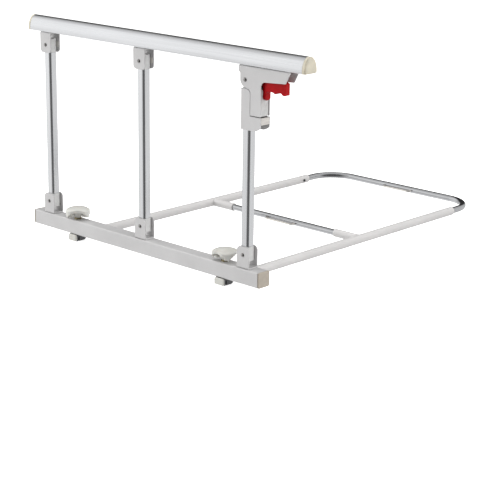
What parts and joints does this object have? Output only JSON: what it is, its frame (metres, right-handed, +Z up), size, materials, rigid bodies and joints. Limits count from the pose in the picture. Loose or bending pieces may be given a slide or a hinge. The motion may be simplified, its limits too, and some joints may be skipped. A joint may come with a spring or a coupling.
{
  "type": "folding bed guard rail",
  "caption": "Folding bed guard rail with a clamped base rail, an under-mattress telescoping frame and a handrail on hinged posts that folds down when a red trigger lifts its lock bolt.",
  "frame": {"origin": "on the base rail's underside, below the middle post and midway between the rail's front and back", "axes": "+X along the base rail towards the latch, +Y back under the mattress, +Z up"},
  "size_m": [0.7506, 0.7813, 0.4541],
  "materials": {
    "silver_paint": "silver-grey powder coat",
    "white_paint": "white gloss powder coat",
    "anodised_aluminium": "satin anodised",
    "chrome_plate": "bright chrome plate",
    "ivory_plastic": "satin moulded",
    "beige_plastic": "matt moulded",
    "off_white_plastic": "satin moulded",
    "grey_plastic": "matt moulded",
    "nickel_plate": "bright nickel plate",
    "yellow_zinc": "yellow zinc plate",
    "dark_steel": "dark phosphated",
    "bright_steel": "bright zinc plate",
    "red_plastic": "semi-gloss moulded",
    "black_steel": "black oxide"
  },
  "bodies": {
    "base": {"base_rail": "silver_paint", "base_rail_cap_left": "beige_plastic", "base_rail_cap_right": "beige_plastic", "lower_clevis_left": "silver_paint", "lower_clevis_middle": "silver_paint", "lower_clevis_right": "silver_paint", "lower_pin_left": "nickel_plate", "lower_pin_middle": "nickel_plate", "lower_pin_right": "nickel_plate", "side_tube_left": "white_paint", "side_tube_right": "white_paint", "crossbar_socket_left": "white_paint", "crossbar_socket_right": "white_paint", "middle_crossbar": "chrome_plate", "middle_strap_loop": "chrome_plate", "set_screw_left": "dark_steel", "set_screw_right": "dark_steel", "clamp_collar_left": "yellow_zinc", "clamp_collar_right": "yellow_zinc"},
    "end_frame": {"end_frame_tube": "chrome_plate", "end_strap_loop": "chrome_plate"},
    "left_post": {"post_tube_left": "anodised_aluminium", "lower_post_fitting_left": "grey_plastic", "upper_post_fitting_left": "grey_plastic"},
    "middle_post": {"post_tube_middle": "anodised_aluminium", "lower_post_fitting_middle": "grey_plastic", "upper_post_fitting_middle": "grey_plastic"},
    "right_post": {"post_tube_right": "anodised_aluminium", "lower_post_fitting_right": "grey_plastic", "upper_post_fitting_right": "grey_plastic", "lock_sleeve": "silver_paint", "strike_plate": "bright_steel"},
    "handrail_arm": {"handrail": "anodised_aluminium", "handrail_cap_left": "ivory_plastic", "handrail_cap_right": "ivory_plastic", "upper_bracket_left": "silver_paint", "upper_bracket_middle": "silver_paint", "upper_pin_left": "nickel_plate", "upper_pin_middle": "nickel_plate", "upper_pin_right": "nickel_plate", "latch_housing": "silver_paint", "bolt_guide": "grey_plastic", "trigger_slot_pin": "nickel_plate"},
    "trigger": {"release_trigger": "red_plastic", "lock_bolt": "black_steel", "trigger_cross_pin": "dark_steel", "bolt_spring": "bright_steel"},
    "left_knob": {"clamp_knob_left": "off_white_plastic", "clamp_screw_left": "dark_steel"},
    "right_knob": {"clamp_knob_right": "off_white_plastic", "clamp_screw_right": "dark_steel"},
    "left_foot": {"clamp_foot_left": "dark_steel", "clamp_foot_shoe_left": "off_white_plastic", "foot_guide_pin_left": "nickel_plate"},
    "right_foot": {"clamp_foot_right": "dark_steel", "clamp_foot_shoe_right": "off_white_plastic", "foot_guide_pin_right": "nickel_plate"}
  },
  "joints": [
    {"name": "arm_fold", "type": "hinge", "parent": "base", "child": "right_post", "pos_m": [0.2775, 0, 0.0562], "axis": [0, 1, 0], "range_deg": [0, 82]},
    {"name": "middle_post_fold", "type": "hinge", "parent": "base", "child": "middle_post", "pos_m": [0, 0, 0.0562], "axis": [0, 1, 0], "range_deg": [0, 82]},
    {"name": "left_post_fold", "type": "hinge", "parent": "base", "child": "left_post", "pos_m": [-0.2775, 0, 0.0562], "axis": [0, 1, 0], "range_deg": [0, 82]},
    {"name": "handrail_level", "type": "hinge", "parent": "right_post", "child": "handrail_arm", "pos_m": [0.2775, 0, 0.3837], "axis": [0, 1, 0], "range_deg": [-82, 0]},
    {"name": "trigger_pull", "type": "slide", "parent": "handrail_arm", "child": "trigger", "axis": [0, 0, 1], "range_m": [0, 0.006], "stiffness_N_per_m": 400, "springref_m": -0.01, "deforming": ["bolt_spring"]},
    {"name": "frame_extend", "type": "slide", "parent": "base", "child": "end_frame", "axis": [0, 1, 0], "range_m": [-0.02, 0.18]},
    {"name": "left_knob_turn", "type": "hinge", "parent": "base", "child": "left_knob", "pos_m": [-0.201, 0, 0.03], "axis": [0, 0, 1], "range_deg": [0, 1440]},
    {"name": "left_foot_travel", "type": "slide", "parent": "base", "child": "left_foot", "axis": [0, 0, 1], "range_m": [-0.008, 0]},
    {"name": "right_knob_turn", "type": "hinge", "parent": "base", "child": "right_knob", "pos_m": [0.221, 0, 0.03], "axis": [0, 0, 1], "range_deg": [0, 1440]},
    {"name": "right_foot_travel", "type": "slide", "parent": "base", "child": "right_foot", "axis": [0, 0, 1], "range_m": [-0.008, 0]}
  ],
  "couplings": [
    {"joint": "middle_post_fold", "follows": "arm_fold", "ratio": 1},
    {"joint": "left_post_fold", "follows": "arm_fold", "ratio": 1},
    {"joint": "handrail_level", "follows": "arm_fold", "ratio": -1},
    {"joint": "left_foot_travel", "follows": "left_knob_turn", "m_per_rad": -0.0003183},
    {"joint": "right_foot_travel", "follows": "right_knob_turn", "m_per_rad": -0.0003183}
  ]
}
